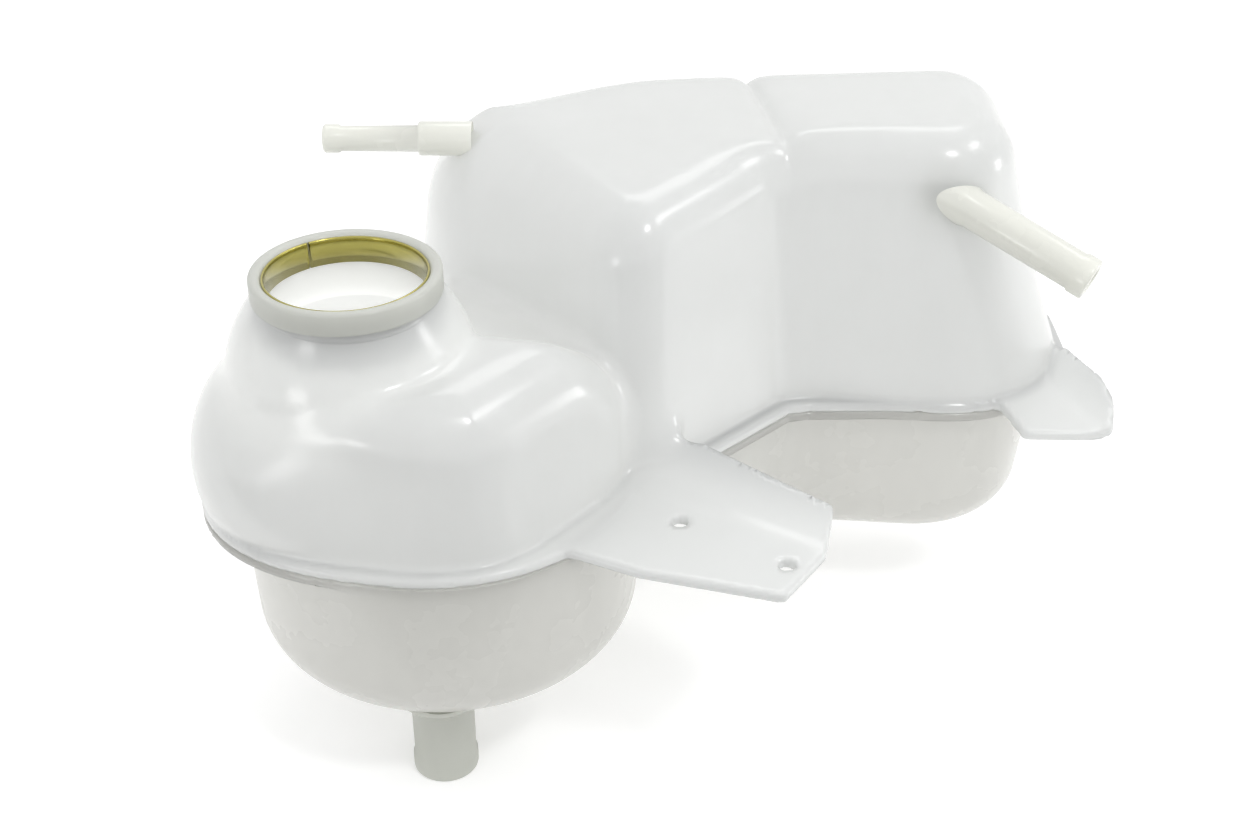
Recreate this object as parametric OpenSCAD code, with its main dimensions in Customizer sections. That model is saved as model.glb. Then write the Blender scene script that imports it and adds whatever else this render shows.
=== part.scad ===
/* [Filler neck] */
// Bore of the metal ring, which the cap's plug enters
ring_bore_d = 45; // [40:0.5:50]
// Thickness of the metal ring
ring_wall = 0.8; // [0.5:0.1:1.2]
// Height of the metal ring
ring_h = 8; // [5:0.5:12]
// Width of the ledge under the ring
ring_ledge = 0.4; // [0.3:0.1:0.5]
// Width of the ring's butt seam
ring_seam = 0.4; // [0.2:0.1:1]
// Where the ring's seam lies, in degrees from the right
seam_angle = 126; // [0:1:359]
// Thickness of plastic around the ring
rim_wall = 2.9; // [2:0.1:4]
// Height of the plain collar at the rim
rim_h = 6; // [4:0.5:8]
// How far the thread's crests lie inside the collar's edge
crest_inset = 0.8; // [0.6:0.1:1.2]
// Depth of the thread
thread_depth = 0.8; // [0.5:0.1:1]
// Rise of the thread from one crest to the next
thread_pitch = 2.8; // [2.4:0.1:3.4]
// Number of thread crests below the collar
thread_turns = 3; // [2:1:3]

/* [Filler dome] */
// Distance from the neck's axis to the dome's axis, to the left
dome_x = 1.2; // [0:0.1:3]
// Distance from the neck's axis to the dome's axis, to the back
dome_y = 5; // [3:0.5:6]
// Radius of the dome where its curve turns into its wall
dome_r = 36.2; // [34:0.1:38]
// Depth below the rim where its curve turns into its wall
dome_turn = 30; // [26:0.5:34]
// Radius of the dome's curve, seen from the side
dome_curve = 38; // [36:1:42]
// Slope of the dome's wall, in degrees
dome_slope = 7; // [5:0.5:9]

/* [Round chamber] */
// Distance from the neck's axis to the chamber's axis, across
chamber_x = 21.5; // [18:0.5:25]
// Distance from the neck's axis to the chamber's axis, front to back
chamber_y = 15; // [12:0.5:18]
// Diameter of the chamber at the weld
chamber_d = 112; // [106:1:118]
// Depth of the middle of the chamber's roof below the rim
roof_depth = 20; // [18:0.5:24]
// How far the roof falls from its middle to its rounded edge
roof_fall = 5; // [2:0.5:8]
// Radius of the chamber's roof edge
roof_round = 17; // [14:1:20]
// Slope of the chamber's wall, in degrees
chamber_slope = 1; // [0:0.5:3]
// Diameter of the bulge at the chamber's left
bulge_d = 82; // [80:1:86]
// Distance from the neck's axis to the bulge's centre, to the left
bulge_x = 9.5; // [8:0.5:12]
// Distance from the neck's axis to the bulge's centre, to the back
bulge_y = 5; // [2:0.5:8]
// Depth of the bulge's centre below the rim
bulge_z = 60; // [56:1:64]
// How far the flange stands out from the bulge
bulge_ledge = 1; // [0.5:0.5:2]
// Radius of the slope that falls into the valley behind the dome
valley_r = 39; // [34:1:44]
// Depth of the valley's floor below the rim
valley_depth = 34.5; // [31:0.5:37]
// How far the valley's floor falls to its rounded edge
valley_fall = 2; // [1:0.5:4]
// How far the wall behind the valley is set in from the front wall
valley_inset = 0.6; // [0.4:0.1:1]
// Distance from the chamber's axis to the foot of that slope, to the back
valley_y = 22.5; // [19:0.5:26]
// How far the valley turns to the front at its right end, in degrees
valley_turn = 12.5; // [8:0.5:17]
// Distance from the neck's axis to the flat facet over the front bracket, at the weld
facet_reach = 59; // [57:0.5:61]
// How far the facet faces to the front of the right, in degrees
facet_turn = 39.5; // [36:0.5:43]
// Lean of the facet, in degrees
facet_lean = 6.5; // [4:0.5:9]

/* [Rear chamber] */
// Height of the crown above the rim
crown_z = 19; // [14:1:22]
// Where the left wall stands at the weld, from the neck's axis
rear_left = 4; // [0:1:8]
// Where the right wall stands at the weld
rear_right = 221; // [214:1:228]
// Where the front wall stands at the weld
rear_front = 48; // [45:1:52]
// How far the front wall falls back toward the groove
front_set = 4; // [2:0.5:6]
// Where the back wall stands at the weld
rear_back = 124; // [118:1:130]
// Where the nose between the two angled walls stands, across
nose_x = 80; // [76:1:84]
// Where the nose between the two angled walls stands, front to back
nose_y = 3; // [0:1:6]
// Radius of the nose and of the back corners
nose_round = 15; // [12:1:18]
// Radius of the right back corner
right_round = 22; // [18:1:26]
// Radius of the right front corner
right_front_round = 38; // [34:1:42]
// Where the groove over the roof starts at the front
groove_x = 128; // [124:1:132]
// How far the groove slants to the left at the back
groove_slant = 12; // [8:1:15]
// Width of the groove over the roof
groove_w = 18; // [14:1:22]
// How far the front wall leans back up to the crown
front_lean = 4; // [2:0.5:6]
// How far the back wall leans in up to the crown
back_lean = 9; // [6:1:12]
// How far the right wall leans in up to the crown
right_lean = 22; // [17:1:27]
// How far the left wall leans in up to the crown
left_lean = 11; // [8:1:14]
// How far the crown falls toward the nose
nose_fall = 12; // [8:1:16]
// How far the crown falls toward its left end
left_fall = 5; // [2:1:7]
// Radius of the edges along the crown
crown_round = 14; // [11:1:16]
// Radius of the crown's soft right end
right_crown_round = 18; // [14:1:20]
// Radius of the crown's soft left end
left_crown_round = 27; // [22:1:30]
// Radius of the outline's left front corner
left_corner_round = 30; // [24:1:31]

/* [Lower half] */
// Depth of the round tub below the weld
tub_depth = 55; // [48:1:58]
// Radius of the tubs' bottom edges
tub_round = 17; // [14:1:20]
// Slope of the round tub's wall, in degrees
tub_slope = 2.5; // [1:0.5:5]
// How far the round tub stands out from the flange
tub_step = 0.7; // [0.5:0.1:1]
// How far the rear tub's right wall is set in from the upper wall
tub_inset = 5; // [3:0.5:7]
// How far the rear tub's walls lean in down to the bottom
tub_lean = 3; // [2:0.5:6]
// Depth of the rear tub below the weld
rear_depth = 56; // [50:1:60]
// Depth of the passage between the tubs below the weld
passage_depth = 32; // [28:1:38]

/* [Walls and weld] */
// Thickness of the moulded walls
wall = 2.6; // [2:0.1:3.2]
// Depth of the weld below the rim
weld_z = 75; // [72:1:78]
// Thickness of each half of the weld flange
flange_t = 3; // [2:0.5:4]
// How far the flange stands out from the wall
flange_w = 4.5; // [3:0.5:6]

/* [Hose spigots] */
// Outer diameter of the bottom spigot
drain_d = 19; // [17:0.5:20]
// Bore of the bottom spigot
drain_bore = 14; // [11:0.5:15]
// How far the bottom spigot stands below the tub
drain_len = 28.5; // [24:0.5:34]
// Distance from the tub's axis to the bottom spigot, to the front
drain_offset = 38; // [30:1:42]
// Outer diameter of the left spigot
vent_d = 8; // [7:0.1:9]
// Outer diameter of the left spigot's thicker root
vent_root_d = 10.8; // [9:0.1:12]
// Bore of the left spigot
vent_bore = 5; // [4:0.5:6]
// Length of the left spigot beyond its thicker root
vent_len = 30; // [26:1:36]
// Length of the left spigot's thicker root outside the wall
vent_root_len = 7; // [5:0.5:9]
// Where the left spigot's root starts, across
vent_x = 19; // [16:1:22]
// Where the left spigot stands, front to back
vent_y = 84; // [80:0.5:88]
// Height of the left spigot's axis above the rim
vent_z = 4.7; // [2:0.1:7]
// Outer diameter of the right spigot
feed_d = 12; // [11:0.5:13]
// Bore of the right spigot
feed_bore = 8; // [6:0.5:9]
// Length of the right spigot
feed_len = 43; // [38:1:48]
// Where the right spigot leaves the wall, across
feed_x = 181; // [176:1:186]
// Where the right spigot leaves the wall, front to back
feed_y = 52; // [50:0.5:54]
// Depth of the right spigot's root below the rim
feed_z = 4; // [1:0.5:7]
// How steeply the right spigot falls, in degrees
feed_fall = 19.6; // [15:0.1:25]
// How far the right spigot turns to the front, in degrees
feed_turn = 31.4; // [26:0.1:36]
// How far each spigot's foot reaches into its wall
spigot_foot = 12; // [10:1:14]
// How far a spigot's bead stands out of it
bead = 0.5; // [0.3:0.1:0.8]
// Width of a spigot's bead
bead_w = 5; // [3:0.5:7]

/* [Brackets] */
// Thickness of the brackets
bracket_t = 3; // [2.5:0.5:4]
// Slope of the brackets' turned-up lips, in degrees
lip_slope = 33; // [25:1:40]
// Length of the big bracket from the nose to its tip
arm_len = 57; // [50:1:64]
// Where the big bracket's fold meets the nose, to the right of it
arm_fold_x = 10; // [8:0.5:12]
// How far the fold passes in front of the neck's axis there
arm_fold_y = 0.6; // [0:0.1:2]
// Which way the big bracket's lip rises, in degrees from the right to the back
arm_fold_turn = 58.4; // [52:0.2:64]
// Distance from the right wall to the small bracket's fold
ear_fold_x = 5; // [3:0.5:7]
// Distance from the front wall to the small bracket's fold, to the front
ear_fold_y = 12; // [10:0.5:14]
// Which way the small bracket's lip rises, in degrees from the right to the back
ear_fold_turn = 17; // [12:1:22]
// Diameter of the bracket's screw holes
screw_d = 5; // [4:0.5:6]
// Distance from the nose to the first screw hole, across
screw_x = 13; // [11:0.5:15]
// Distance from the neck's axis to the first screw hole, to the front
screw_y = 17.1; // [15:0.1:19]
// Distance between the two screw holes
screw_gap = 36; // [30:1:40]
// How far the row of screw holes turns to the front, in degrees
screw_turn = 35.6; // [30:0.2:40]

/* [Hidden] */
$fn = 48;
// How far a cut runs past the face that it opens
over = 1;
natural = [0.90, 0.91, 0.90];
gilt = [0.72, 0.64, 0.22];
ring_r = ring_bore_d / 2 + ring_wall;
rim_r = ring_r + rim_wall;
crest_r = rim_r - crest_inset;
root_r = crest_r - thread_depth;
neck_foot = -rim_h - thread_turns * thread_pitch;
chamber_r = chamber_d / 2;
tub_r = chamber_r + flange_w + tub_step;
bulge_r = bulge_d / 2;
bulge_foot_r = sqrt(pow(bulge_r, 2) - pow(weld_z - bulge_z, 2));
back_y = rear_back - nose_round;
groove_back_x = groove_x - groove_slant;
nose_centre_y = nose_y + nose_round * sqrt(2);
angled_run = groove_x - nose_x + nose_round;
crown_back_y = rear_back - back_lean - crown_round;
crown_front_y = rear_front + front_lean + crown_round;
crown_right_x = rear_right - right_lean - right_crown_round;
crown_left_x = rear_left + left_lean + left_crown_round;
crown_left_y = crown_back_y + crown_round - left_crown_round;
shoulder_x = rear_left + left_lean + nose_round;
shoulder_z = crown_z - left_fall - left_crown_round + nose_round;
tub_in = tub_lean + tub_round;

// Corners of the flat outline at the weld, each [x, y, radius]
round_foot = [
    [-bulge_x, bulge_y, bulge_foot_r + bulge_ledge - flange_w],
    [chamber_x, chamber_y, chamber_r],
];
mid_foot = [
    [nose_x, nose_centre_y, nose_round],
    [nose_x + angled_run, nose_centre_y + angled_run, nose_round],
    [groove_back_x, back_y, nose_round],
    [rear_left + nose_round, back_y, nose_round],
    [rear_left + left_corner_round,
        nose_x + nose_y - rear_left + left_corner_round * (sqrt(2) - 1), left_corner_round],
];
right_foot = [
    [groove_x, rear_front + front_set + nose_round, nose_round],
    [rear_right - right_front_round, rear_front + right_front_round, right_front_round],
    [rear_right - right_round, rear_back - right_round, right_round],
    [groove_back_x + nose_round, back_y, nose_round],
];

// The tubs' left and right ends are set in from the upper walls
mid_tub_foot = [for (c = mid_foot) [
    c[0] < nose_x ? c[0] + tub_inset : c[0],
    c[1] == back_y ? c[1] - tub_lean : c[1], c[2]]];
right_tub_foot = [for (c = right_foot) [
    c[0] - tub_inset,
    c[1] + c[2] > rear_back - over ? c[1] - tub_lean : c[1], c[2]]];

// Balls along the crown's edge, each [x, y, height of its top, radius]
mid_crown = [
    [nose_x, nose_centre_y + front_lean, crown_z - nose_fall, crown_round],
    [groove_x - groove_w / 2, crown_front_y, crown_z - nose_fall / 3, crown_round],
    [groove_back_x - groove_w / 3, crown_back_y, crown_z, crown_round],
    [crown_left_x, crown_left_y, crown_z - left_fall, left_crown_round],
    [shoulder_x, crown_back_y + crown_round - nose_round + back_lean / 2, shoulder_z, nose_round],
];
right_crown = [
    [groove_x + groove_w / 2, crown_front_y + front_set / 2, crown_z - 1, crown_round],
    [crown_right_x, crown_front_y + right_crown_round - crown_round, crown_z - 2, right_crown_round],
    [crown_right_x, crown_back_y + crown_round - right_crown_round, crown_z, right_crown_round],
    [groove_back_x + groove_w / 2, crown_back_y, crown_z + 1, crown_round],
];

// Balls along the rear tubs' bottom edges, each [x, y, height of its bottom, radius]
passage_z = -weld_z - passage_depth;
keel_z = -weld_z - rear_depth;
mid_keel = [
    [nose_x, nose_y + tub_in * sqrt(2), passage_z, tub_round],
    [nose_x - nose_y + rear_front - tub_in * (sqrt(2) - 1), rear_front + tub_in, passage_z, tub_round],
    [groove_x, rear_back - tub_in - tub_lean, passage_z, tub_round],
    [rear_left + tub_inset + tub_in, rear_back - tub_in - tub_lean, passage_z, tub_round],
    [rear_left + tub_inset + tub_in, nose_x + nose_y - rear_left - tub_in * (2 - sqrt(2)),
        passage_z, tub_round],
];
right_keel = [
    [groove_x + tub_round * 3 / 4, rear_front + tub_in, keel_z, tub_round],
    [rear_right - tub_inset - tub_in, rear_front + right_front_round * 3 / 4, keel_z, tub_round],
    [rear_right - tub_inset - tub_in, rear_back - tub_in - tub_lean, keel_z, tub_round],
    [groove_x + tub_round * 3 / 4, rear_back - tub_in - tub_lean, keel_z, tub_round],
];

// Bracket outlines at the weld, and each fold as [point, direction in which the lip rises]
arm_tip_x = nose_x + arm_len;
arm_outline = [
    [50, 10], [56, -29], [82, -38], [arm_tip_x - 16, -52.5],
    [arm_tip_x - 3, -32], [arm_tip_x, -19.5], [100, 11], [82, 26],
];
arm_fold = [[nose_x + arm_fold_x, -arm_fold_y], arm_fold_turn];
ear_tip_x = rear_right + ear_fold_x + 4;
ear_outline = [
    [rear_right - 23, 50], [rear_right - 20, 31], [ear_tip_x - 1, 31],
    [ear_tip_x, 47], [ear_tip_x - 7, 66], [rear_right - 14, 74],
];
ear_fold = [[rear_right + ear_fold_x, rear_front - ear_fold_y], ear_fold_turn];

// Points on an arc about a centre
function arc(centre, r, from, to) =
    [for (i = [0:8]) centre + r * [cos(from + (to - from) * i / 8), sin(from + (to - from) * i / 8)]];

// A rear lobe: balls along its crown or keel, discs at the weld, all drawn in by a wall thickness
module lobe(foot, balls, up, draw_in) {
    past = draw_in > 0 ? over : 0;
    hull() {
        for (b = balls) translate([b[0], b[1], b[2] - up * b[3]]) sphere(b[3] - draw_in, $fn = 32);
        for (c = foot)
            translate([c[0], c[1], -weld_z - up * past]) cylinder(r = c[2] - draw_in, h = 2, $fn = 32);
    }
}

// The dome around the filler neck, closed at its top
module dome(draw_in) {
    turn = [dome_r - dome_curve * cos(dome_slope), -dome_turn - dome_curve * sin(dome_slope)];
    foot_r = dome_r + (weld_z - dome_turn) * tan(dome_slope);
    top = asin((-rim_h - turn.y) / dome_curve);
    translate([-dome_x, dome_y, -draw_in * 2]) rotate_extrude() polygon(concat(
        [[0, -weld_z], [foot_r - draw_in, -weld_z]],
        arc(turn, dome_curve - draw_in, dome_slope, top),
        [[0, -rim_h - draw_in]]
    ));
}

// A round chamber under a roof at a depth, its edge rounded
module chamber_form(r, depth, fall, draw_in) {
    wall_top_r = r - (weld_z - depth - fall - roof_round) * tan(chamber_slope);
    foot_z = -weld_z - (draw_in > 0 ? over : 0);
    translate([chamber_x, chamber_y]) rotate_extrude() polygon(concat(
        [[0, foot_z], [r - draw_in, foot_z]],
        arc([wall_top_r - roof_round, -depth - fall - roof_round], roof_round - draw_in, 0, 82),
        [[0, -depth - draw_in]]
    ));
}

// The round chamber's upper half: the high front part slopes down to the low part behind it
module round_chamber(draw_in) {
    difference() {
        union() {
            difference() {
                chamber_form(chamber_r, roof_depth, roof_fall, draw_in);
                translate([chamber_x, chamber_y]) rotate(-valley_turn) translate([0, valley_y]) {
                    translate([0, 0, valley_r - valley_depth]) rotate([0, 90, 0])
                        cylinder(r = valley_r + draw_in, h = 2 * chamber_d, center = true);
                    translate([-chamber_d, -2 * valley_fall, -weld_z - 2 * over])
                        cube([2 * chamber_d, chamber_d, chamber_d]);
                }
            }
            chamber_form(chamber_r - valley_inset, valley_depth, valley_fall, draw_in);
        }
        rotate(-facet_turn) translate([facet_reach, 0, -weld_z]) rotate([0, -facet_lean, 0])
            translate([-draw_in, -chamber_r, -chamber_r / 2]) cube([chamber_r, chamber_d, chamber_d]);
    }
}

// The round bulge at the chamber's left, cut off at the weld
module bulge(draw_in) {
    intersection() {
        translate([-bulge_x, bulge_y, -bulge_z]) sphere(bulge_r - draw_in);
        translate([-200, -200, -weld_z - (draw_in > 0 ? over : 0)]) cube([400, 400, 100]);
    }
}

// One half of the weld flange, filled in
module flange(foot) {
    hull() for (c = foot) translate([c[0], c[1]]) cylinder(r = c[2] + flange_w, h = flange_t);
}

// All of the upper half's hollow bodies
module upper_body(draw_in) {
    dome(draw_in);
    round_chamber(draw_in);
    bulge(draw_in);
    lobe(mid_foot, mid_crown, 1, draw_in);
    lobe(right_foot, right_crown, 1, draw_in);
}

// The filler neck's outside: collar and thread crests
module neck() {
    translate([0, 0, neck_foot - thread_pitch]) cylinder(r = root_r, h = thread_pitch - neck_foot);
    translate([0, 0, -rim_h]) cylinder(r = rim_r, h = rim_h);
    for (i = [1:thread_turns]) translate([0, 0, -rim_h - i * thread_pitch]) {
        cylinder(r1 = root_r, r2 = crest_r, h = thread_pitch / 4);
        translate([0, 0, thread_pitch / 4]) cylinder(r1 = crest_r, r2 = root_r, h = thread_pitch / 4);
    }
}

// A straight spigot with a ramped bead at its end, pointing up
module spigot(d, len, inside) {
    translate([0, 0, -inside]) cylinder(d = d, h = inside + len);
    translate([0, 0, len - bead_w]) {
        cylinder(d1 = d, d2 = d + 2 * bead, h = bead);
        translate([0, 0, bead]) cylinder(d = d + 2 * bead, h = bead_w - 2 * bead);
        translate([0, 0, bead_w - bead]) cylinder(d1 = d + 2 * bead, d2 = d, h = bead);
    }
}

// A plate that is flat on one side of its fold and slopes up on the other, cut to an outline
module bent_plate(outline, fold) {
    lip = 60;
    flat = 2 * lip;
    rise = lip * tan(lip_slope);
    up = bracket_t / cos(lip_slope);
    intersection() {
        translate([0, 0, -weld_z]) linear_extrude(lip) polygon(outline);
        translate([fold[0].x, fold[0].y, -weld_z]) rotate([90, 0, fold[1]])
            linear_extrude(2 * flat, center = true) polygon([
                [-flat, 0], [0, 0], [lip, rise], [lip, rise + up],
                [0, up], [-1, bracket_t], [-flat, bracket_t],
            ]);
    }
}

module vent_place() { translate([vent_x, vent_y, vent_z]) rotate([0, -90, 0]) children(); }
module feed_place() {
    translate([feed_x, feed_y, -feed_z]) rotate([0, 90 + feed_fall, -feed_turn]) children();
}

module upper_shell() {
    color(natural) difference() {
        union() {
            upper_body(0);
            neck();
            for (foot = [round_foot, mid_foot, right_foot]) translate([0, 0, -weld_z]) flange(foot);
            bent_plate(arm_outline, arm_fold);
            bent_plate(ear_outline, ear_fold);
            vent_place() {
                spigot(vent_d, vent_len + vent_root_len, spigot_foot);
                translate([0, 0, -spigot_foot])
                    cylinder(d = vent_root_d, h = spigot_foot + vent_root_len);
            }
            feed_place() spigot(feed_d, feed_len, spigot_foot);
        }
        upper_body(wall);
        translate([0, 0, -ring_h]) cylinder(r = ring_r, h = ring_h + over);
        translate([0, 0, neck_foot - 8]) cylinder(r = ring_r - ring_ledge, h = over - neck_foot + 7);
        vent_place() translate([0, 0, -spigot_foot - over])
            cylinder(d = vent_bore, h = vent_len + vent_root_len + spigot_foot + 2 * over);
        feed_place() translate([0, 0, -spigot_foot - over])
            cylinder(d = feed_bore, h = feed_len + spigot_foot + 2 * over);
        for (along = [0, screw_gap])
            translate([nose_x + screw_x, -screw_y, -weld_z - over]) rotate([0, 0, -screw_turn])
                translate([along, 0, 0]) cylinder(d = screw_d, h = bracket_t + 2 * over, $fn = 24);
    }
}

// The round tub, drawn in by a wall thickness
module round_tub(draw_in) {
    past = draw_in > 0 ? over : 0;
    edge_z = -weld_z - tub_depth + tub_round;
    edge_r = tub_r - (tub_depth - tub_round) * tan(tub_slope) - tub_round;
    translate([chamber_x, chamber_y]) rotate_extrude() polygon(concat(
        [[0, -weld_z + past], [tub_r - draw_in, -weld_z + past]],
        arc([edge_r, edge_z], tub_round - draw_in, 0, -90),
        [[0, -weld_z - tub_depth + draw_in]]
    ));
}

// All of the lower half's hollow bodies
module lower_body(draw_in) {
    round_tub(draw_in);
    translate([0, 0, draw_in > 0 ? 0 : -2]) lobe(mid_tub_foot, mid_keel, -1, draw_in);
    translate([0, 0, draw_in > 0 ? 0 : -2]) lobe(right_tub_foot, right_keel, -1, draw_in);
}

module lower_shell() {
    color(natural) difference() {
        union() {
            lower_body(0);
            for (foot = [round_foot, mid_foot, right_foot])
                translate([0, 0, -weld_z - flange_t]) flange(foot);
            translate([chamber_x, chamber_y - drain_offset, -weld_z - tub_depth])
                rotate([180, 0, 0]) spigot(drain_d, drain_len, wall);
        }
        lower_body(wall);
        translate([chamber_x, chamber_y - drain_offset, -weld_z - tub_depth - drain_len - over])
            cylinder(d = drain_bore, h = drain_len + tub_round);
    }
}

module neck_ring() {
    color(gilt) translate([0, 0, -ring_h]) difference() {
        cylinder(r = ring_r, h = ring_h);
        translate([0, 0, -over]) cylinder(d = ring_bore_d, h = ring_h + 2 * over);
        rotate([0, 0, seam_angle]) translate([0, -ring_seam / 2, -over])
            cube([ring_bore_d, ring_seam, ring_h + 2 * over]);
    }
}

upper_shell();
lower_shell();
neck_ring();
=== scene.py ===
# %% [markdown]
# # A coolant expansion tank in milky plastic
# The real tank is two thin mouldings of natural plastic, welded at a flange, with a metal sleeve pressed
# into the filler neck. Each moulding is one flowing skin, so the smooth forms are written as distance
# fields: a number for every point in space that says how far it lies from the skin. Two fields join
# with a fillet of a known radius, as the toolmaker's ball cutter leaves it.

# %% Setup
import math

import bmesh
import bpy
import mathutils
import numpy as np
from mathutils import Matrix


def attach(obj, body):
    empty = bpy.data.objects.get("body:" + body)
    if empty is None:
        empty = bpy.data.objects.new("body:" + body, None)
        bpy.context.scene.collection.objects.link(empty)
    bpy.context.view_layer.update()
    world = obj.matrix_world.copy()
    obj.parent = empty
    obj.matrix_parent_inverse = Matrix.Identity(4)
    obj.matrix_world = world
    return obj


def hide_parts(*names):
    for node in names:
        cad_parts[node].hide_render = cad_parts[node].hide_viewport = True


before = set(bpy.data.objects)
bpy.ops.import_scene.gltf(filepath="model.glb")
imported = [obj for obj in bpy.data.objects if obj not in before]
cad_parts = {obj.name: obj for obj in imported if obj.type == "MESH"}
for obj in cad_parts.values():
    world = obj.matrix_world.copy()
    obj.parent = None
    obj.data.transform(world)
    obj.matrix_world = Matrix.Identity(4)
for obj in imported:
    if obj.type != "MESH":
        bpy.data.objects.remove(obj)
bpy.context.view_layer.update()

# %% [markdown]
# ## Distances and fillets
# All sizes here are millimetres, and the meshes turn into metres when they are made. A plane, a circle
# or a cone gives a distance with a line of algebra. An intersection takes the larger of two distances
# and a union the smaller one. The rounded forms of both put a circular fillet along the edge.

# %% Sizes shared by the fields
WELD = -75.0  # height of the parting plane, the neck's rim being at nought
WALL = 2.6  # thickness of both mouldings
FLANGE = 3.0  # thickness of each moulding's half of the weld flange
PLATE = 3.0  # thickness of the brackets
AXIS = np.array([21.5, 15.0])  # the round chamber's axis in plan
ROUND_R = 56.4  # its radius at the weld
DOME_AXIS = np.array([-1.2, 5.0])  # the dome's axis, a little off the neck's
DOME_R, DOME_FOOT, DOME_ARC, DOME_SLOPE = 36.2, -30, 38, math.radians(7)
NECK_R, NECK_BORE = 24.4, 22.9  # the neck under the collar and under the sleeve
BULGE, BULGE_R = np.array([-9.5, 5, -60]), 41  # the ball at the chamber's left

# Each flat wall: the angle that it faces, its reach from the neck's axis at the weld, and its lean.
FACET = (-39.5, 59.2, 0.114)
LEFT_END, LEFT_FRONT = (180, -5, 0.13), (225, -59.4, 0.045)
SLOPE, VALLEY, LONG_FRONT = (315, 54.2, 0.07), (282, -23.4, 0.043), (264.6, -65.5, 0.012)
BACK = (90, 124, 0.09)
TUB_SLOPE, TUB_FRONT, TUB_LEFT = (315, 52.4, -0.08), (264.6, -67.5, -0.06), (225, -61.5, -0.08)


# %% Fillet helpers
def both(a, b, r):
    """Inside both fields, with a convex edge of radius r: a quarter circle where both lie within r."""
    return np.minimum(np.maximum(a, b), -r) + np.hypot(np.maximum(a + r, 0), np.maximum(b + r, 0))


def either(a, b, r):
    """Inside either field, with a concave fillet of radius r: the mirror image of both()."""
    return -both(-a, -b, r)


def step(t):
    """A smooth step from 0 to 1 while t runs from 0 to 1: half of one minus the cosine of t times pi."""
    return (1 - np.cos(np.clip(t, 0, 1) * np.pi)) / 2


def facing(p, angle, reach, lean):
    """Distance past a wall that faces an angle, stands at a reach at the weld and leans in as it rises."""
    a = np.radians(angle)
    out = p[:, 0] * np.cos(a) + p[:, 1] * np.sin(a) - reach + lean * (p[:, 2] - WELD)
    return out / math.hypot(1, lean)


def segment(p, a, b):
    """Distance in plan from a point to the straight piece between a and b: the nearest share of it."""
    a, b = np.array(a), np.array(b)
    share = np.clip(((p[:, :2] - a) @ (b - a)) / ((b - a) @ (b - a)), 0, 1)
    return np.hypot(*(p[:, :2] - a - share[:, None] * (b - a)).T)


# %% [markdown]
# ## The upper moulding's outside
# Three bodies grow into each other: the round chamber, whose roof is a broad plateau that falls into a
# valley at the back, the bell-shaped dome under the filler neck, and the tall rear chamber with its
# two angled walls and the groove over its roof.

# %% The round chamber, the dome and the bulge
def round_chamber(p):
    """A leaning round wall with one flat facet, under a roof that falls with distance and into the valley."""
    r = np.hypot(*(p[:, :2] - AXIS).T)
    wall = both(r - ROUND_R + 0.03 * (p[:, 2] - WELD), facing(p, *FACET), 5)
    behind = segment(p, (50, -25), (-5, -20)) - 21.5
    roof = -20.5 - 0.0014 * r**2 - 12.5 * step(behind / 28)
    edge = 11.5 + 4.5 * step((p[:, 0] - 5) / 35)
    return both(wall, p[:, 2] - roof, edge)


def dome(p):
    """A bell about its own axis: a large arc seen from the side, running down into a leaning wall."""
    r = np.hypot(*(p[:, :2] - DOME_AXIS).T)
    out, up = math.cos(DOME_SLOPE), math.sin(DOME_SLOPE)
    turn_r, turn_z = DOME_R - DOME_ARC * out, DOME_FOOT - DOME_ARC * up
    arc = np.hypot(r - turn_r, p[:, 2] - turn_z) - DOME_ARC
    wall = (r - DOME_R) * out + (p[:, 2] - DOME_FOOT) * up
    low = p[:, 2] < turn_z + (r - turn_r) * math.tan(DOME_SLOPE)
    return np.maximum(np.where(low, wall, arc), p[:, 2] + 6)


def bulge(p):
    """A ball at the chamber's left, cut by the weld."""
    return np.sqrt(((p - BULGE) ** 2).sum(1)) - BULGE_R


# %% The rear chamber
def rear_chamber(p):
    """Leaning walls joined by rounded corners, under a roof of two sloping planes with a groove between."""
    x, y, z = p.T
    front = either(either(facing(p, *SLOPE), facing(p, *VALLEY), 1.5), facing(p, *LONG_FRONT), 1.5)
    right = x - 199.6 - 0.27 * -z - 0.0009 * z**2
    right_corner = 48 - 0.25 * (z - WELD)
    walls = both(both(front, right, right_corner), facing(p, *LEFT_FRONT), 15)
    walls = both(both(walls, facing(p, *LEFT_END), 16), facing(p, *BACK), 18)
    across = x - 128 + 0.2 * (y - 50)
    on_right = step((across + 12) / 24)
    left_plane = 17.5 + 0.05 * (x - 110) + 0.085 * (y - 105)
    right_plane = 18.2 + 0.03 * (x - 125) + 0.05 * (y - 105)
    hill = left_plane * (1 - on_right) + right_plane * on_right
    width = 6.5 - 2.8 * step((y - 60) / 50)
    groove = 3.1 * np.exp(-(np.hypot(across, 0.8) - 0.8) / (0.62 * width))
    edge = 14 + 20 * (1 - step((x - 25) / 65))
    return both(walls, z - hill + groove, edge)


# %% [markdown]
# ## Flange and brackets
# The weld flange follows the outline of the bodies at one height, a little further out. The brackets are
# plates, bent along a line: flat on one side and rising on the other. They grow out of the body with a
# small fillet in front and a broad one behind, where the plate turns up.

# %% Plates
def polygon(p, corners):
    """Distance in plan to a straight-sided outline: the nearest side's distance, less than nought inside."""
    near, inside = np.full(len(p), 1e9), np.zeros(len(p), bool)
    for a, b in zip(corners, corners[1:] + corners[:1]):
        near = np.minimum(near, segment(p, a, b))
        spans = (a[1] > p[:, 1]) != (b[1] > p[:, 1])
        rise = (p[:, 1] - a[1]) / ((b[1] - a[1]) or 1)
        inside ^= spans & (p[:, 0] < a[0] + rise * (b[0] - a[0]))
    return np.where(inside, -near, near)


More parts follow.
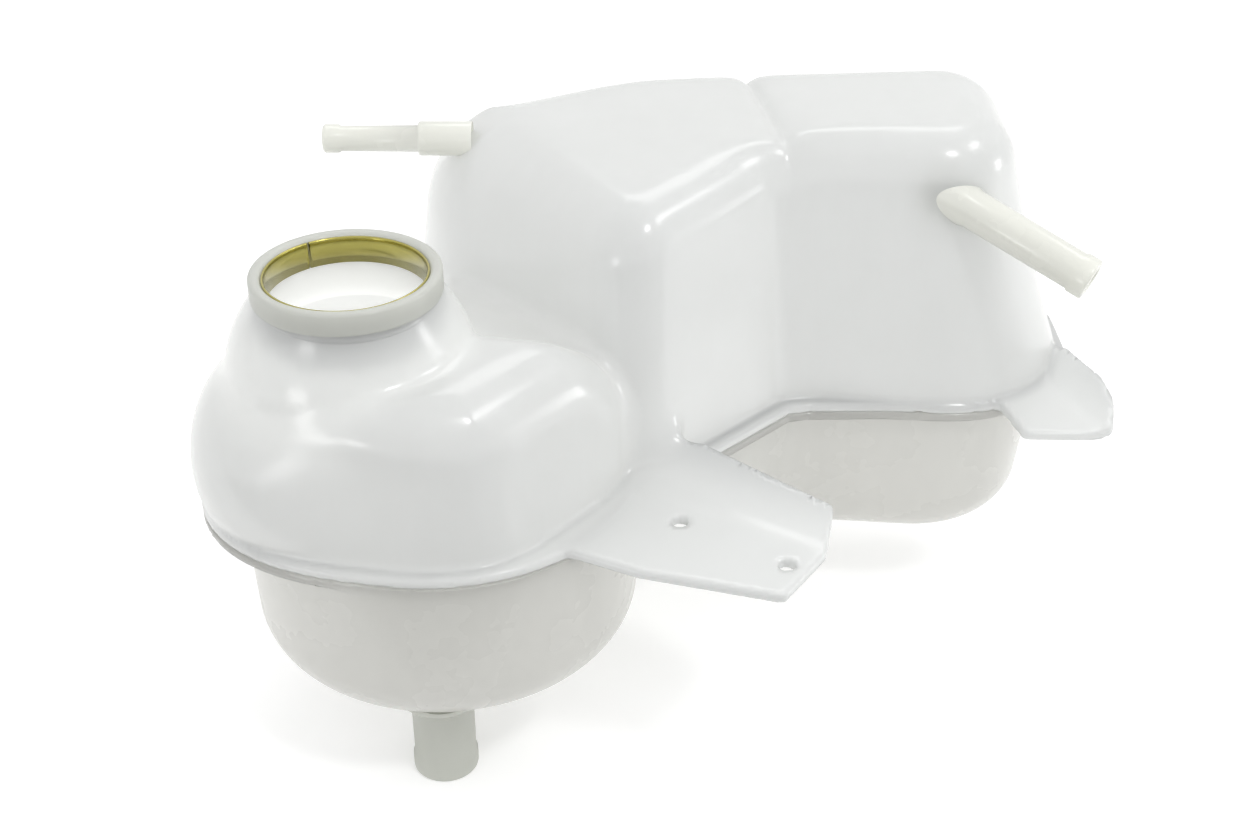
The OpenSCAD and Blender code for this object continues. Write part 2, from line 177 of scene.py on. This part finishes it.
def bent_plate(p, corners, fold, turn, slope, soft, round_by=2.5):
    """A plate in an outline. Past the fold it rises, along a curve as soft as a hyperbola's bend."""
    a = np.radians(turn)
    across = (p[:, 0] - fold[0]) * np.cos(a) + (p[:, 1] - fold[1]) * np.sin(a)
    rise = math.tan(math.radians(slope)) * (np.hypot(across, soft) + across) / 2
    steep = 1 + (math.tan(math.radians(slope)) * (across / np.hypot(across, soft) + 1) / 2) ** 2
    flat = np.abs(p[:, 2] - WELD - PLATE / 2 - rise) / np.sqrt(steep) - PLATE / 2
    return both(polygon(p, corners) - round_by, flat, 0.8), across


def hole(p, x, y, r):
    """Distance past an upright hole's wall, so that the larger distance cuts it out."""
    return r - np.hypot(p[:, 0] - x, p[:, 1] - y)


def flange(p, low, high):
    """A slab between two heights: wide round the chambers, narrow at the bulge and at the right end."""
    flat = p.copy()
    flat[:, 2] = WELD
    ring = np.hypot(*(p[:, :2] - AXIS).T) - (ROUND_R + 4.2)
    left = np.hypot(*(p[:, :2] - BULGE[:2]).T) - (BULGE_R - 1.6)
    width = 4.5 - 3.0 * step((p[:, 0] - 130) / 40)
    outline = either(either(ring, left, 14), rear_chamber(flat) - width, 5)
    middle, half = (low + high) / 2, (high - low) / 2
    return both(outline, np.abs(p[:, 2] - middle) - half, 0.7)


# %% The upper moulding
# Each bracket's outline in plan, then a point on its fold, the way that it rises and its rise, in degrees.
ARM = [(50, 8), (56.6, -26), (82, -38.6), (119.5, -49.4), (131.5, -31.5), (134.3, -19.2), (99, 8.2),
       (88, 10.5)]
ARM_FOLD, ARM_TURN, ARM_RISE = (90, -0.6), 58.4, 33
ARM_HOLES, HOLE_R = ((93, -17.1), (122.3, -38.1)), 2.5
EAR = [(200, 52), (204, 34), (227.5, 32.8), (229.3, 42), (228, 53), (221.5, 72), (212, 84)]
EAR_FOLD, EAR_TURN, EAR_RISE = (224, 36), 17, 33


def upper_body(p):
    """The hollow bodies of the upper moulding, joined with the mould's fillets."""
    front = either(round_chamber(p), bulge(p), 9)
    front = either(front, dome(p), 2.5)
    return either(front, rear_chamber(p), 6)


def upper_outside(p):
    """The bodies with the flange, both brackets and the neck."""
    body = upper_body(p)
    body = either(body, flange(p, WELD, WELD + FLANGE), 1.2)
    arm, past_fold = bent_plate(p, ARM, ARM_FOLD, ARM_TURN, ARM_RISE, 4)
    for x, y in ARM_HOLES:
        arm = both(arm, hole(p, x, y, HOLE_R), 0.5)
    body = either(body, arm, 1.5 + 8.5 * step((past_fold + 4) / 14))
    ear, past_fold = bent_plate(p, EAR, EAR_FOLD, EAR_TURN, EAR_RISE, 3)
    body = either(body, ear, 2.0)
    neck = both(np.hypot(p[:, 0], p[:, 1]) - NECK_R, p[:, 2] + 6.3, 0.3)
    return either(body, neck, 4)


def upper_inside(p):
    """The hollow: the bodies drawn in by the wall, and the neck's bore."""
    bore = np.maximum(np.hypot(p[:, 0], p[:, 1]) - NECK_BORE, -25 - p[:, 2])
    return np.minimum(upper_body(p) + WALL, bore)


# %% [markdown]
# ## The lower moulding
# Under the flange hang a round tub and a squarer rear tub, with a shallower passage between them. Each
# is a leaning wall with a generous radius to a flat bottom.

# %% The tubs
def round_tub(p):
    """A round wall that leans in toward its bottom, with a rolled bottom edge."""
    r = np.hypot(*(p[:, :2] - AXIS).T)
    return both(r - 61.0 - 0.044 * (p[:, 2] - WELD), -130 - p[:, 2], 17)


def rear_tub(p):
    """The rear chamber's outline again, set in, closed by a bottom that is shallower under the passage."""
    x, y, z = p.T
    down = WELD - z
    front = either(facing(p, *TUB_SLOPE), facing(p, *TUB_FRONT), 9)
    walls = both(front, x - 217.5 + 0.08 * down, 40)
    walls = both(walls, facing(p, *TUB_LEFT), 14)
    walls = both(both(walls, 8 - x + 0.08 * down, 14), y - 121 + 0.06 * down, 18)
    deep = -107 - 24 * step((x - 105) / 40)
    return both(walls, deep - z, 17)


def lower_body(p):
    """Both tubs, joined with a fillet."""
    return either(round_tub(p), rear_tub(p), 6)


def lower_outside(p):
    """The tubs with their half of the flange."""
    return either(lower_body(p), flange(p, WELD - FLANGE, WELD), 1.0)


def lower_inside(p):
    """The hollow of the tubs, open at the top."""
    return lower_body(p) + WALL


# %% [markdown]
# ## From a field to a mesh
# Space is cut into small cubes. Where the field changes sign along a cube's edge, the skin passes
# through it, and the four cubes around that edge share one face of the mesh. Each corner settles where
# the flat pieces that cross its cube meet best, so that a plate's edge stays one straight line, and then
# slides along the field's slope until the field reads nought, which takes out every trace of the cubes.

# %% Skinning a field
def slope_of(field, p, h=0.05):
    """The field's slope at each point: the differences across a small step, along X, Y and Z."""
    return np.stack([(field(p + d) - field(p - d)) / (2 * h) for d in np.eye(3) * h], 1)


def skin(field, low, high, size):
    """Corners and four-sided faces where the field is nought, from cubes of a size between two corners."""
    low, high = np.array(low, float), np.array(high, float)
    n = np.ceil((high - low) / size).astype(int) + 1
    axes = [low[i] + size * np.arange(n[i]) for i in range(3)]
    grid = np.stack(np.meshgrid(*axes, indexing="ij"), -1).reshape(-1, 3)
    value = np.concatenate([field(part) for part in np.array_split(grid, 12)]).reshape(n)
    inside = value < 0
    cells = np.zeros(n - 1, bool)
    for corner in np.ndindex(2, 2, 2):
        part = inside[tuple(slice(c, c + m - 1) for c, m in zip(corner, n))]
        cells |= part != inside[:-1, :-1, :-1]
    number = np.full(n - 1, -1)
    number[cells] = np.arange(cells.sum())
    faces, points = [], []
    for axis in range(3):
        a, b = (axis + 1) % 3, (axis + 2) % 3
        near = [slice(1, m - 1) for m in n]
        near[axis] = slice(0, n[axis] - 1)
        far = list(near)
        far[axis] = slice(1, n[axis])
        crossing = inside[tuple(near)] != inside[tuple(far)]
        at = np.argwhere(crossing)
        at[:, a] += 1
        at[:, b] += 1
        share = value[tuple(near)][crossing] / (value[tuple(near)] - value[tuple(far)])[crossing]
        point = low + size * at
        point[:, axis] += size * share
        going_out = inside[tuple(near)][crossing]
        ring = []
        for da, db in ((-1, -1), (0, -1), (0, 0), (-1, 0)):
            cell = at.copy()
            cell[:, a] += da
            cell[:, b] += db
            ring.append(number[tuple(cell.T)])
        ring = np.stack(ring, 1)
        ring[~going_out] = ring[~going_out][:, ::-1]
        faces.append(ring)
        points.append(point)
    faces, points = np.concatenate(faces), np.concatenate(points)
    middles = low + size * (np.argwhere(cells) + 0.5)
    corners = settle(field, faces, points, middles, size)
    for _ in range(4):
        slope = slope_of(field, corners)
        move = field(corners)[:, None] * slope / np.maximum((slope**2).sum(1), 0.2)[:, None]
        corners = corners - np.clip(move, -size / 2, size / 2)
    return corners, faces


def settle(field, faces, points, middles, size):
    """Each cube's corner: nearest to all flat pieces through its crossings, with a pull to their mean."""
    slope = slope_of(field, points)
    slope /= np.linalg.norm(slope, axis=1, keepdims=True) + 1e-9
    count = len(middles)
    total, number = np.zeros((count, 3)), np.zeros(count)
    for k in range(4):
        ok = faces[:, k] >= 0
        np.add.at(total, faces[ok, k], points[ok])
        np.add.at(number, faces[ok, k], 1)
    mean = np.where(number[:, None] > 0, total / np.maximum(number, 1)[:, None], middles)
    square, right = np.zeros((count, 3, 3)), np.zeros((count, 3))
    for k in range(4):
        ok = faces[:, k] >= 0
        cell, n = faces[ok, k], slope[ok]
        np.add.at(square, cell, n[:, :, None] * n[:, None, :])
        np.add.at(right, cell, n * ((points[ok] - mean[cell]) * n).sum(1)[:, None])
    square += 0.05 * np.eye(3)
    shift = np.linalg.solve(square, right[:, :, None])[:, :, 0]
    return mean + np.clip(shift, -0.7 * size, 0.7 * size)


def cut_away(corners, faces, keep):
    """Only the faces whose corners are all kept, and only the corners that they use."""
    faces = faces[keep(corners)[faces].all(1)]
    used, faces = np.unique(faces, return_inverse=True)
    return corners[used], faces.reshape(-1, 4)


# %% Making objects
def piece(name, corners, faces, finishes, slot="natural_plastic", chosen=None):
    """A shown object from corners in millimetres and faces, smooth, riding on the tank."""
    mesh = bpy.data.meshes.new(name)
    mesh.from_pydata((corners / 1000).tolist(), [], faces if isinstance(faces, list) else faces.tolist())
    for finish in finishes:
        mesh.materials.append(finish)
    if chosen is not None:
        mesh.polygons.foreach_set("material_index", chosen.astype(np.int32))
    mesh.polygons.foreach_set("use_smooth", [True] * len(mesh.polygons))
    mesh.update()
    made = bpy.data.objects.new(name, mesh)
    bpy.context.scene.collection.objects.link(made)
    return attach(made, "root")


def grid_faces(rows, columns):
    """Four-sided faces between rows of corners, where each row closes to a ring."""
    row, column = np.meshgrid(np.arange(rows - 1), np.arange(columns), indexing="ij")
    here, beside = row * columns + column, row * columns + (column + 1) % columns
    return np.stack([here, beside, beside + columns, here + columns], -1).reshape(-1, 4)


def lathe(profile, steps, start=(0, 0, 0), along=(0, 0, 1)):
    """A turned skin: each [radius, distance] of the profile goes round an axis from a start point."""
    along = np.array(along, float) / np.linalg.norm(along)
    side = np.cross(along, (0, 0, 1.0) if abs(along[2]) < 0.9 else (0, 1.0, 0))
    side /= np.linalg.norm(side)
    other = np.cross(along, side)
    turn = np.arange(steps) * 2 * np.pi / steps
    ring = np.cos(turn)[:, None] * side + np.sin(turn)[:, None] * other
    radius, distance = np.array(profile).T[:, :, None, None]
    corners = np.array(start) + radius * ring + distance * along
    return corners.reshape(-1, 3), grid_faces(len(profile), steps)


def joined(*parts):
    """Several sets of corners and faces as one, the later faces counted on."""
    starts = np.cumsum([0] + [len(corners) for corners, _ in parts[:-1]])
    faces = [own + first for (_, own), first in zip(parts, starts)]
    return np.concatenate([corners for corners, _ in parts]), np.concatenate(faces)


def bend(centre, r, start, end, steps=6):
    """Points of a profile on an arc, angles in degrees."""
    t = np.radians(np.linspace(start, end, steps))
    return [[centre[0] + r * math.cos(a), centre[1] + r * math.sin(a)] for a in t]


# %% [markdown]
# ## Shader maths
# A material is a sum of small nodes. To write it as a formula, each node's output is wrapped so that
# adding or multiplying it makes the Math node by itself. Every other node comes from one method, which
# takes the node's kind, its settings and what goes into its sockets.

# %% Outputs that can be added and multiplied
class Flow:
    """A node's output inside one finish. Arithmetic on it adds a Math node."""

    def __init__(self, finish, socket):
        self.finish, self.socket = finish, socket

    def math(self, operation, first, second):
        return self.finish.node("Math", {"operation": operation}, {0: first, 1: second})

    def __add__(self, other):
        return self.math("ADD", self, other)

    def __sub__(self, other):
        return self.math("SUBTRACT", self, other)

    def __rsub__(self, other):
        return self.math("SUBTRACT", other, self)

    def __mul__(self, other):
        return self.math("MULTIPLY", self, other)

    __radd__, __rmul__ = __add__, __mul__


# %% One finish
class Finish:
    """A material whose nodes all come from node()."""

    def __init__(self, name):
        self.material = bpy.data.materials.new(name)
        self.material.use_nodes = True
        self.tree = self.material.node_tree
        self.tree.nodes.clear()

    def node(self, kind, settings=None, values=None, out=0):
        """Adds a node, first its settings, then the value or link of each named or numbered socket."""
        made = self.tree.nodes.new("ShaderNode" + kind)
        for key, value in (settings or {}).items():
            setattr(made, key, value)
        for key, value in (values or {}).items():
            if isinstance(value, Flow):
                self.tree.links.new(value.socket, made.inputs[key])
            else:
                made.inputs[key].default_value = value
        return Flow(self, made.outputs[out]) if made.outputs else made

    def noise(self, place, scale, detail=3.0, rough=0.55):
        """Soft random clouds between 0 and 1, their size one over the scale, in metres."""
        values = {"Vector": place, "Scale": scale, "Detail": detail, "Roughness": rough}
        return self.node("TexNoise", None, values)

    def blend(self, share, first, second):
        """A colour between two, given or made by nodes: a Mix node, as a Math node would turn it grey."""
        first, second = (c if isinstance(c, Flow) else (*c, 1) for c in (first, second))
        return self.node("Mix", {"data_type": "RGBA"}, {0: share, 6: first, 7: second}, out=2)

    def shown(self, surface):
        """The material, with a surface as its output."""
        self.node("OutputMaterial", None, {"Surface": surface})
        return self.material


# %% [markdown]
# ## The milky plastic
# Natural plastic is neither clear nor opaque. Light enters a wall, scatters in it and leaves on either
# side, so the whole tank glows a little from within. Real scattering through the depth of a wall is slow
# to render, so each skin mixes two surfaces: a glossy one that sends light back and a thin one that
# lets it through to the other side. The hollow's skin lets nearly all of it through, because its other
# side has already been counted. It also glows faintly by itself: a painted glow that stands in for the
# light that scatters along inside the walls. Soft clouds and faint upright streaks, left by the melt as it
# flowed, keep the walls from looking painted. An attribute of the mesh draws the colour toward a paler one
# on the plates and the dome: painted light, standing in for more of the glow that comes through the walls
# there.

# %% Plastic
PAINTED_LIGHT_COLOUR = (0.79, 0.80, 0.795)  # the body colour where the attribute reads 1: painted light on the plates and the dome


def plastic(name, dull, bright, through, glow, rough, within=0.0, coat=0.8):
    """A glossy body colour between dull and bright, with the share of light, coloured glow, let through."""
    finish = Finish(name)
    place = finish.node("TexCoord", out="Object")
    tall = finish.node("Mapping", None, {"Vector": place, "Scale": (1, 1, 0.22)})
    clouds = finish.noise(place, 34.0, 4.0)
    streaks = finish.noise(tall, 120.0, 3.0)
    share = clouds * 1.1 + streaks * 0.7 - 0.4
    grain = finish.noise(place, 900.0, 2.0)
    normal = finish.node("Bump", None, {"Strength": 0.05, "Distance": 0.0003, "Height": grain})
    # Painted light: this attribute draws the body colour toward a paler one on the plates and the dome.
    painted_light = finish.node("Attribute", {"attribute_name": "painted_light"}, out=2)
    # The emission, of the strength given as within, is a painted glow; only the hollow's skin has one.
    body = finish.node("BsdfPrincipled", None, {
        "Base Color": finish.blend(painted_light, finish.blend(share, dull, bright), PAINTED_LIGHT_COLOUR),
        "Roughness": rough - 0.05 + clouds * 0.1,
        "IOR": 1.5, "Coat Weight": coat, "Coat Roughness": 0.18, "Normal": normal,
        "Emission Color": (1, 1, 0.99, 1), "Emission Strength": within})
    passed = finish.node("BsdfTranslucent", None, {"Color": (*glow, 1)})
    return finish.shown(finish.node("MixShader", None, {0: through, 1: body, 2: passed}))


# Each plastic's dull and bright colours, the share of light that it lets through, and that light's colour.
UPPER = (0.56, 0.57, 0.57), (0.61, 0.62, 0.625), 0.37, (0.92, 0.925, 0.915)
# The lower moulding's colours are darker than the upper's: partly its own tone and partly painted shade, for
# the lower tubs get less light.
LOWER = (0.44, 0.44, 0.42), (0.49, 0.49, 0.47), 0.42, (0.82, 0.815, 0.79)
DRAIN = (0.56, 0.57, 0.53), (0.63, 0.64, 0.60), 0.42, (0.86, 0.87, 0.82)
MATT = (0.67, 0.68, 0.645), (0.73, 0.74, 0.705), 0.42, (0.88, 0.89, 0.85)
HOLLOW = (0.92, 0.92, 0.91), (0.95, 0.95, 0.94), 0.88, (0.99, 0.99, 0.985)
CREAM = (0.83, 0.835, 0.78), (0.89, 0.895, 0.84), 0.25, (0.90, 0.90, 0.84)
upper_plastic = plastic("natural_plastic_upper", *UPPER, rough=0.24)
lower_plastic = plastic("natural_plastic_lower", *LOWER, rough=0.27)
drain_plastic = plastic("natural_plastic_drain", *DRAIN, rough=0.30)
collar_plastic = plastic("natural_plastic_collar", *MATT, rough=0.30, coat=0.2)
# The hollow glows by itself: a painted glow for the light scattered along inside the walls.
hollow_plastic = plastic("natural_plastic_hollow", *HOLLOW, rough=0.5, within=1.6)
cream_plastic = plastic("natural_plastic_spigots", *CREAM, rough=0.27)

# %% [markdown]
# ## The gilt ring
# The ring is steel with a thin yellow passivation. Its colour comes from the metal's reflection, and a
# clear film over it adds the white glints along its edges.

# %% Metal
def metal(name, dull, bright, rough):
    """A coloured metal, stained in colour and roughness, under a clear coat."""
    finish = Finish(name)
    place = finish.node("TexCoord", out="Object")
    stains = finish.noise(place, 110.0, 3.0, 0.6)
    brushed = finish.noise(finish.node("Mapping", None, {"Vector": place, "Scale": (1, 1, 14)}), 160.0, 2.0)
    body = finish.node("BsdfPrincipled", None, {
        "Base Color": finish.blend(stains * 1.2 - 0.1, dull, bright), "Metallic": 1.0,
        "Roughness": rough - 0.03 + brushed * 0.06, "Coat Weight": 1.0, "Coat Roughness": 0.12})
    return finish.shown(body)


gilt_metal = metal("gilt_ring", (0.34, 0.30, 0.05), (0.49, 0.44, 0.10), 0.24)

# %% [markdown]
# ## The two mouldings
# The outside is skinned with small cubes and the hollow with larger ones, since it is only seen dimly
# through the wall. Both skins are cut at the weld, and a narrow flat strip joins their edges there, so
# that each moulding is one closed wall.

# %% Cutting and closing
FINE, COARSE = 1.5, 2.4  # the cubes of the outside and of the hollow
BEYOND = {FINE: 2.4, COARSE: 3.2}  # how far past the weld corners are kept, to be drawn back onto it
NECK_CUT = -20  # the neck's open edges lie above this height


def at_weld(corners, faces, side, beyond):
    """What lies on one side of the weld, the corners up to a distance beyond drawn onto its plane."""
    corners, faces = cut_away(corners, faces, lambda p: side * (p[:, 2] - WELD) > -beyond)
    corners[:, 2] = WELD + side * np.maximum(side * (corners[:, 2] - WELD), 0)
    return corners, faces


def clear_of_neck(corners, faces, r, low):
    """Without what lies within a radius of the neck's axis above a height."""
    return cut_away(corners, faces, lambda p: (np.hypot(p[:, 0], p[:, 1]) > r) | (p[:, 2] < low))


def close_edges(made, side):
    """Fills the strip between the two open edges at the weld, then joins the two round edges in the neck."""
    shape = bmesh.new()
    shape.from_mesh(made.data)
    opened = [e for e in shape.edges if e.is_boundary]
    weld = [e for e in opened if all(abs(v.co.z - WELD / 1000) < 1e-5 for v in e.verts)]
    filled = bmesh.ops.triangle_fill(shape, edges=weld, use_beauty=True, normal=(0, 0, -side))
    neck = [e for e in shape.edges if e.is_boundary and e.verts[0].co.z > NECK_CUT / 1000]
    if neck:
        bmesh.ops.bridge_loops(shape, edges=neck)
    bmesh.ops.recalc_face_normals(shape, faces=shape.faces[:])
    left = sum(e.is_boundary for e in shape.edges)
    print(made.name, "strip faces", len(filled["geom"]), "open edges left", left)
    shape.to_mesh(made.data)
    shape.free()


def painted_light_share(p):
    """How much painted light the upper moulding gets, 0 to 1: on plates beyond the bodies, and on the dome.
    """
    plates = step(upper_body(p) / 5) * (1 - step((p[:, 2] - WELD - 4) / 10))
    dome_painted_light = 0.55 * step((p[:, 2] + 50) / 20) * (1 - step(dome(p) / 8))
    return np.maximum(plates, dome_painted_light)


def set_painted_light(made, values):
    """Stores one share of painted light per corner, as the attribute that the plastic reads."""
    made.data.attributes.new("painted_light", "FLOAT", "POINT").data.foreach_set("value", values)


def moulding(name, outer, hollow, side, finishes):
    """A closed wall as a piece, its outside in the first finish and its hollow in the second."""
    chosen = np.arange(len(outer[1]) + len(hollow[1])) >= len(outer[1])
    made = piece(name, *joined(outer, hollow), finishes, chosen=chosen)
    close_edges(made, side)
    corners = np.zeros(len(made.data.vertices) * 3)
    made.data.vertices.foreach_get("co", corners)
    # Only the upper moulding is painted lighter; the lower one's share of painted light is nought.
    set_painted_light(made, painted_light_share(corners.reshape(-1, 3) * 1000) if side > 0 else corners[::3] * 0)
    print(name, len(outer[1]) * 2, "and", len(hollow[1]) * 2, "triangles")
    return made


# %% The upper moulding
outer = at_weld(*skin(upper_outside, (-56, -60, WELD - 4), (236, 132, 24), FINE), 1, BEYOND[FINE])
outer = clear_of_neck(*outer, NECK_R - 0.4, -12)
hollow = skin(lambda p: -upper_inside(p), (-54, -46, WELD - 4), (226, 128, 20), COARSE)
hollow = clear_of_neck(*at_weld(*hollow, 1, BEYOND[COARSE]), NECK_BORE + 0.6, -17)
upper_moulding = moulding("upper_moulding", outer, hollow, 1, (upper_plastic, hollow_plastic))

# %% The lower moulding
outer = at_weld(*skin(lower_outside, (-58, -52, -136), (234, 130, WELD + 4), FINE), -1, BEYOND[FINE])
hollow = skin(lambda p: -lower_inside(p), (-54, -50, -134), (226, 128, WELD + 4), COARSE)
hollow = at_weld(*hollow, -1, BEYOND[COARSE])
lower_moulding = moulding("lower_moulding", outer, hollow, -1, (lower_plastic, hollow_plastic))

# %% [markdown]
# ## The neck
# The collar is turned, with a crowned rim that stands a little above the sleeve. The thread is one ridge
# that climbs round the neck, so its mesh is a grid of angle and height: the radius at each point follows
# from how far the height is from the ridge at that angle.

# %% Collar, thread and ring
RING_BORE, RING_OUT, RING_LOW = 22.5, 23.3, -8.0  # the sleeve's radii and its lower edge
COLLAR, COLLAR_LOW = 26.8, -6.0  # the collar's radius and its lower edge
CREST, ROOT, PITCH, THREAD_LOW = 25.0, 24.75, 2.8, -17.0  # the thread's radii, pitch and lower end
COLLAR_STEPS = 160


def threaded_neck(steps=240, rows=72):
    """The neck's outside under the collar: the radius rises to the crest where the ridge passes."""
    angle = np.arange(steps) * 2 * np.pi / steps
    t, z = np.meshgrid(angle, np.linspace(COLLAR_LOW, THREAD_LOW, rows))
    phase = (z - COLLAR_LOW + PITCH * t / (2 * np.pi)) / PITCH
    away = np.abs(phase - np.round(phase)) * PITCH
    ridge = 1 - step((away - 0.15) / 0.75)
    runs_in = step((COLLAR_LOW - z - 0.2) / 0.8)
    r = ROOT + (CREST - ROOT) * ridge * runs_in
    corners = np.stack([r * np.cos(t), r * np.sin(t), z], -1).reshape(-1, 3)
    return corners, grid_faces(rows, steps)[:, [0, 3, 2, 1]]


bore = [[NECK_BORE, -19.0], [NECK_BORE, RING_LOW]]
rim = bend((RING_OUT + 1.8, -0.9), 1.75, 180, 90) + bend((COLLAR - 1.1, -0.25), 1.1, 90, 0)
skirt = bend((COLLAR - 0.7, COLLAR_LOW + 0.7), 0.7, 0, -90) + [[ROOT, COLLAR_LOW]]
collar = bore + [[RING_OUT + 0.05, RING_LOW]] + rim + skirt
turned, thread = lathe(collar[::-1], COLLAR_STEPS), threaded_neck()
bore_faces = len(bore) * COLLAR_STEPS
finish_of = np.repeat([0, 2, 1], [len(turned[1]) - bore_faces, bore_faces, len(thread[1])])
filler_neck = piece("filler_neck", *joined(turned, thread),
                    [collar_plastic, upper_plastic, hollow_plastic], chosen=finish_of)
# The thread under the collar gets half of the painted light.
set_painted_light(filler_neck, np.repeat([0.0, 0.5], [len(turned[0]), len(thread[0])]))


def rolled_ring(seam=126, gap=0.4, steps=180):
    """The strip rolled round from one side of the seam to the other, its edges slightly rounded."""
    half = math.degrees(gap / 2 / RING_BORE)
    turn = np.radians(np.linspace(seam + half, seam + 360 - half, steps))[:, None]
    r, z = np.array([[RING_BORE, RING_LOW], [RING_BORE, -0.35], [RING_BORE + 0.2, 0.0], [RING_OUT - 0.2, 0.0],
                     [RING_OUT, -0.35], [RING_OUT, RING_LOW]]).T
    corners = np.stack([r * np.cos(turn), r * np.sin(turn), z + 0 * turn], -1).reshape(-1, 3)
    first_end = list(range(len(r)))[::-1]
    last_end = [(steps - 1) * len(r) + k for k in range(len(r))]
    return corners, grid_faces(steps, len(r))[:, [0, 3, 2, 1]].tolist() + [first_end, last_end]


neck_sleeve = piece("neck_sleeve", *rolled_ring(), [gilt_metal], "gilt_ring")

# %% [markdown]
# ## The spigots
# Each spigot is turned about its own axis: a root that flares into the wall, a plain barrel, a low bead
# near the tip for the hose clip, a rounded lip and the bore back down.

# %% Spigots
SPIGOT_STEPS = 72
# Where each spigot's axis starts in the wall, and the way that it points.
DRAIN_FOOT, DRAIN_ALONG = (AXIS[0], AXIS[1] - 38, -130.0), (0, 0, -1)
VENT_FOOT, VENT_ALONG = (19, 84, 4.7), (-1, 0, 0)
FEED_FOOT, FEED_ALONG = (181, 52, -4), (0.804095, -0.490817, -0.335452)


def spigot(root, d, length, bore, bead_d, bead_w, lip=0.5):
    """Profile from the foot of the root along the barrel, over the bead and lip and down the bore."""
    r, rb, rr = d / 2, bore / 2, bead_d / 2
    bead_start = length - bead_w
    bead = [[r, bead_start - 0.6], [rr, bead_start + 0.2], [rr, length - 1.2]]
    tip = bend((rr - 0.9, length - 0.9), 0.9, 0, 90, 5) + bend((rb + lip, length - lip), lip, 90, 180, 4)
    return root + bead + tip + [[rb, -4.0]]


def root_flare(r, out, up):
    """A concave root: a quarter circle squeezed to a width and a height."""
    t = np.linspace(0, np.pi / 2, 8)
    return [[r + out * (1 - math.sin(a)), up * (1 - math.cos(a))] for a in t]


def set_spigot(name, profile, start, along, material):
    """A turned spigot placed with its foot at a point of the wall."""
    corners, faces = lathe(profile, SPIGOT_STEPS, start, along)
    piece(name, corners, faces[:, ::-1], [material])


drain_root = [[14, -1.0]] + root_flare(9.5, 2.5, 3.0)
vent_root = [[5.4, -10.0], [5.4, 6.2], [5.2, 6.8], [4.2, 7.2]]
feed_root = [[6.6, -15.0], [6.5, 0.0], [6.0, 2.0]]
set_spigot("bottom_spigot", spigot(drain_root, 19, 28.5, 14, 20, 5), DRAIN_FOOT, DRAIN_ALONG, drain_plastic)
set_spigot("left_spigot", spigot(vent_root, 8, 37, 5, 9, 5), VENT_FOOT, VENT_ALONG, cream_plastic)
set_spigot("right_spigot", spigot(feed_root, 12, 43, 8, 13, 5), FEED_FOOT, FEED_ALONG, cream_plastic)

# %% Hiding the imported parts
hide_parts("upper_shell")
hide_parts("lower_shell")
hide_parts("neck_ring")

# %% [markdown]
# ## Floor, light and camera
# The tank stands on a light table in a white room: the floor glows by itself, so hardly any shadow is
# left, and white from all sides keeps the plastic even. A grey card lies on the floor in front, out of
# the picture, and holds the upright walls a little below the level ones. What draws the form are five
# soft boxes. One low at the left front lights the round shoulder's edge, two at the right light the
# slopes that face them, a small high one at the right front makes the gloss at the tank's end, and a
# large one behind gives every level face its sheen.

# %% The light table
def sheet(name, left, right, front, back, z, colour, glow):
    """A level matt rectangle between four bounds at a height, all in metres, that glows by itself, staged."""
    mesh = bpy.data.meshes.new(name)
    corners = [(left, front, z), (right, front, z), (right, back, z), (left, back, z)]
    mesh.from_pydata(corners, [], [(0, 1, 2, 3)])
    finish = Finish(name)
    mesh.materials.append(finish.shown(finish.node("BsdfPrincipled", None, {
        "Base Color": (*colour, 1), "Roughness": 1.0, "Specular IOR Level": 0.0,
        "Emission Color": (1, 1, 1, 1), "Emission Strength": glow})))
    made = bpy.data.objects.new(name, mesh)
    bpy.context.scene.collection.objects.link(made)


FLOOR_Z, CARD_Z = -0.1586, -0.1580  # the floor lies just under the bottom spigot's tip
ROOM = 0.92  # the white room's strength
sheet("floor", -6, 6, -6, 6, FLOOR_Z, (0.85, 0.85, 0.85), 0.27)
sheet("front_card", -0.6, 0.75, -0.9, -0.10, CARD_Z, (0.30, 0.30, 0.30), 0.0)
world = bpy.data.worlds.new("pale_room")
world.use_nodes = True
world.node_tree.nodes["Background"].inputs["Color"].default_value = (1, 1, 1, 1)
world.node_tree.nodes["Background"].inputs["Strength"].default_value = ROOM
bpy.context.scene.world = world


# %% Soft boxes
AIM, REACH = mathutils.Vector((0.08, 0.03, -0.04)), 1.1


def soft_box(name, azimuth, elevation, width, height, bright):
    """A lit rectangle seen from the tank in a direction in degrees. Bright is against the white room's 1."""
    a, e = math.radians(azimuth), math.radians(elevation)
    away = mathutils.Vector((math.cos(e) * math.cos(a), math.cos(e) * math.sin(a), math.sin(e)))
    data = bpy.data.lights.new(name, "AREA")
    data.shape, data.size, data.size_y, data.energy = "RECTANGLE", width, height, 4 * bright * width * height
    made = bpy.data.objects.new(name, data)
    bpy.context.scene.collection.objects.link(made)
    made.location = AIM + away * REACH
    made.rotation_euler = (-away).to_track_quat("-Z", "Y").to_euler()


soft_box("shoulder_box", -132, 2, 0.30, 0.20, 3.6)
soft_box("right_box", 4, 4, 0.20, 0.26, 5.5)
soft_box("slope_box", -2, 47, 0.30, 0.16, 6.0)
soft_box("end_box", -51, 54, 0.15, 0.15, 24.0)
soft_box("back_box", 85, 56, 0.8, 0.30, 1.8)

# %% Camera
EYE, TILT = (0.0768, -0.4283, 0.2159), 31.5  # matched to the sleeve's ellipse and the parting plane
bpy.context.scene.view_settings.view_transform = "Standard"
camera_data = bpy.data.cameras.new("camera")
camera_data.lens = 50
camera_data.sensor_width = 36
camera = bpy.data.objects.new("camera", camera_data)
bpy.context.scene.collection.objects.link(camera)
camera.location = EYE
camera.rotation_euler = (math.radians(90 - TILT), 0, 0)
bpy.context.scene.camera = camera
